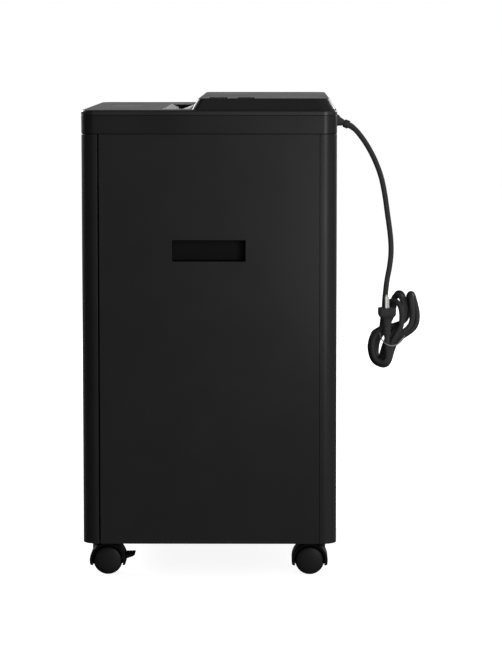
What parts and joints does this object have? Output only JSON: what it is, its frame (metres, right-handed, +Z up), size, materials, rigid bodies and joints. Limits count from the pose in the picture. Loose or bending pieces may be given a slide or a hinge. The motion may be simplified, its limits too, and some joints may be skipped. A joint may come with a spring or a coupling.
{
  "type": "paper shredder",
  "caption": "Deskside paper shredder: tall cabinet with pull-out bin, cutter head with raised motor hump, silver throat, hand grips, twin-wheel casters and a tied mains cord.",
  "frame": {"origin": "on the floor under the middle of the cabinet", "axes": "+Z up, +X to the right when facing the front, front at -Y"},
  "size_m": [0.393, 0.4568, 0.6382],
  "materials": {
    "cabinet_plastic": "fine-textured black moulding",
    "deck_plastic": "satin black moulding",
    "throat_silver": "satin silver",
    "inner_moulding": "matt black moulding",
    "clear_plastic": "smoked, glossy",
    "board": "green circuit board",
    "zinc_steel": "zinc-plated",
    "cutter_steel": "ground, oiled",
    "nylon": "natural nylon",
    "caster_plastic": "black nylon",
    "wheel_plastic": "black, slightly glossy",
    "cord_rubber": "smooth black PVC",
    "tie_plastic": "grey plastic-coated wire"
  },
  "bodies": {
    "cabinet": {"base_tray": "inner_moulding", "side_panel_right": "cabinet_plastic", "side_panel_left": "cabinet_plastic", "rear_shell": "cabinet_plastic", "grip_cup_right": "inner_moulding", "grip_cup_left": "inner_moulding", "runner_left": "zinc_steel", "runner_right": "zinc_steel", "head_tray": "cabinet_plastic", "head_cover": "deck_plastic", "throat_trim": "throat_silver", "control_board": "board", "status_panel": "clear_plastic", "cutter_plate_left": "zinc_steel", "cutter_plate_right": "zinc_steel", "gear_plate": "zinc_steel", "stripper_front": "nylon", "stripper_rear": "nylon", "motor_body": "zinc_steel", "door_switch": "inner_moulding", "strain_relief": "cord_rubber", "power_cord": "cord_rubber", "cord_hank": "cord_rubber", "plug": "cord_rubber", "cord_tie": "tie_plastic"},
    "bin": {"bin_front": "cabinet_plastic", "bin_window": "clear_plastic", "bin_pull": "inner_moulding", "bin_tub": "inner_moulding"},
    "cutter_rear": {"cutter_shaft_rear": "cutter_steel", "final_gear": "nylon", "timing_gear_rear": "cutter_steel"},
    "cutter_front": {"cutter_shaft_front": "cutter_steel", "timing_gear_front": "cutter_steel"},
    "idler": {"idler_gear": "nylon"},
    "motor_rotor": {"motor_shaft": "cutter_steel", "motor_pinion": "cutter_steel", "motor_fan": "inner_moulding"},
    "power_key": {"button_power": "deck_plastic"},
    "reverse_key": {"button_reverse": "deck_plastic"},
    "paper_flag": {"paper_lever": "inner_moulding"},
    "door_pin": {"switch_plunger": "nylon"},
    "caster_front_right": {"caster_stem_front_right": "zinc_steel", "caster_hood_front_right": "caster_plastic"},
    "wheel_outer_front_right": {"wheel_outer_front_right": "wheel_plastic"},
    "wheel_inner_front_right": {"wheel_inner_front_right": "wheel_plastic"},
    "brake_front_right": {"brake_lever_front_right": "caster_plastic"},
    "caster_front_left": {"caster_stem_front_left": "zinc_steel", "caster_hood_front_left": "caster_plastic"},
    "wheel_outer_front_left": {"wheel_outer_front_left": "wheel_plastic"},
    "wheel_inner_front_left": {"wheel_inner_front_left": "wheel_plastic"},
    "brake_front_left": {"brake_lever_front_left": "caster_plastic"},
    "caster_rear_right": {"caster_stem_rear_right": "zinc_steel", "caster_hood_rear_right": "caster_plastic"},
    "wheel_outer_rear_right": {"wheel_outer_rear_right": "wheel_plastic"},
    "wheel_inner_rear_right": {"wheel_inner_rear_right": "wheel_plastic"},
    "caster_rear_left": {"caster_stem_rear_left": "zinc_steel", "caster_hood_rear_left": "caster_plastic"},
    "wheel_outer_rear_left": {"wheel_outer_rear_left": "wheel_plastic"},
    "wheel_inner_rear_left": {"wheel_inner_rear_left": "wheel_plastic"}
  },
  "joints": [
    {"name": "bin_slide", "type": "slide", "parent": "cabinet", "child": "bin", "axis": [0, -1, 0], "range_m": [0, 0.3]},
    {"name": "cutter_rear_spin", "type": "hinge", "parent": "cabinet", "child": "cutter_rear", "pos_m": [0, -0.029, 0.576], "axis": [1, 0, 0], "continuous": true},
    {"name": "cutter_front_spin", "type": "hinge", "parent": "cabinet", "child": "cutter_front", "pos_m": [0, -0.066, 0.576], "axis": [1, 0, 0], "continuous": true},
    {"name": "idler_spin", "type": "hinge", "parent": "cabinet", "child": "idler", "pos_m": [0, 0.013, 0.576], "axis": [1, 0, 0], "continuous": true},
    {"name": "motor_spin", "type": "hinge", "parent": "cabinet", "child": "motor_rotor", "pos_m": [0, 0.0405, 0.588], "axis": [1, 0, 0], "continuous": true},
    {"name": "power_press", "type": "slide", "parent": "cabinet", "child": "power_key", "axis": [0, 0, -1], "range_m": [0, 0.001], "stiffness_N_per_m": 600, "springref_m": -0.0006},
    {"name": "reverse_press", "type": "slide", "parent": "cabinet", "child": "reverse_key", "axis": [0, 0, -1], "range_m": [0, 0.001], "stiffness_N_per_m": 600, "springref_m": -0.0006},
    {"name": "paper_lever_tip", "type": "hinge", "parent": "cabinet", "child": "paper_flag", "pos_m": [0.036, -0.0385, 0.6075], "axis": [1, 0, 0], "range_deg": [0, 25], "stiffness_Nm_per_rad": 0.002, "springref_deg": -17.19},
    {"name": "door_pin_press", "type": "slide", "parent": "cabinet", "child": "door_pin", "axis": [0, 1, 0], "range_m": [0, 0.0025], "stiffness_N_per_m": 300, "springref_m": -0.001},
    {"name": "swivel_front_right", "type": "hinge", "parent": "cabinet", "child": "caster_front_right", "pos_m": [0.15, -0.1445, 0.0465], "axis": [0, 0, 1], "continuous": true},
    {"name": "roll_outer_front_right", "type": "hinge", "parent": "caster_front_right", "child": "wheel_outer_front_right", "pos_m": [0.15, -0.137, 0.0195], "axis": [1, 0, 0], "continuous": true},
    {"name": "roll_inner_front_right", "type": "hinge", "parent": "caster_front_right", "child": "wheel_inner_front_right", "pos_m": [0.15, -0.137, 0.0195], "axis": [1, 0, 0], "continuous": true},
    {"name": "brake_front_right", "type": "hinge", "parent": "caster_front_right", "child": "brake_front_right", "pos_m": [0.15, -0.1142, 0.0242], "axis": [1, 0, 0], "range_deg": [-14, 0]},
    {"name": "swivel_front_left", "type": "hinge", "parent": "cabinet", "child": "caster_front_left", "pos_m": [-0.15, -0.1445, 0.0465], "axis": [0, 0, 1], "continuous": true},
    {"name": "roll_outer_front_left", "type": "hinge", "parent": "caster_front_left", "child": "wheel_outer_front_left", "pos_m": [-0.15, -0.137, 0.0195], "axis": [1, 0, 0], "continuous": true},
    {"name": "roll_inner_front_left", "type": "hinge", "parent": "caster_front_left", "child": "wheel_inner_front_left", "pos_m": [-0.15, -0.137, 0.0195], "axis": [1, 0, 0], "continuous": true},
    {"name": "brake_front_left", "type": "hinge", "parent": "caster_front_left", "child": "brake_front_left", "pos_m": [-0.15, -0.1142, 0.0242], "axis": [1, 0, 0], "range_deg": [-14, 0]},
    {"name": "swivel_rear_right", "type": "hinge", "parent": "cabinet", "child": "caster_rear_right", "pos_m": [0.15, 0.1405, 0.0465], "axis": [0, 0, 1], "continuous": true},
    {"name": "roll_outer_rear_right", "type": "hinge", "parent": "caster_rear_right", "child": "wheel_outer_rear_right", "pos_m": [0.15, 0.133, 0.0195], "axis": [1, 0, 0], "continuous": true},
    {"name": "roll_inner_rear_right", "type": "hinge", "parent": "caster_rear_right", "child": "wheel_inner_rear_right", "pos_m": [0.15, 0.133, 0.0195], "axis": [1, 0, 0], "continuous": true},
    {"name": "swivel_rear_left", "type": "hinge", "parent": "cabinet", "child": "caster_rear_left", "pos_m": [-0.15, 0.1405, 0.0465], "axis": [0, 0, 1], "continuous": true},
    {"name": "roll_outer_rear_left", "type": "hinge", "parent": "caster_rear_left", "child": "wheel_outer_rear_left", "pos_m": [-0.15, 0.133, 0.0195], "axis": [1, 0, 0], "continuous": true},
    {"name": "roll_inner_rear_left", "type": "hinge", "parent": "caster_rear_left", "child": "wheel_inner_rear_left", "pos_m": [-0.15, 0.133, 0.0195], "axis": [1, 0, 0], "continuous": true}
  ],
  "couplings": [
    {"joint": "cutter_front_spin", "follows": "cutter_rear_spin", "ratio": -1},
    {"joint": "idler_spin", "follows": "cutter_rear_spin", "ratio": -2.6667},
    {"joint": "motor_spin", "follows": "cutter_rear_spin", "ratio": 8}
  ]
}
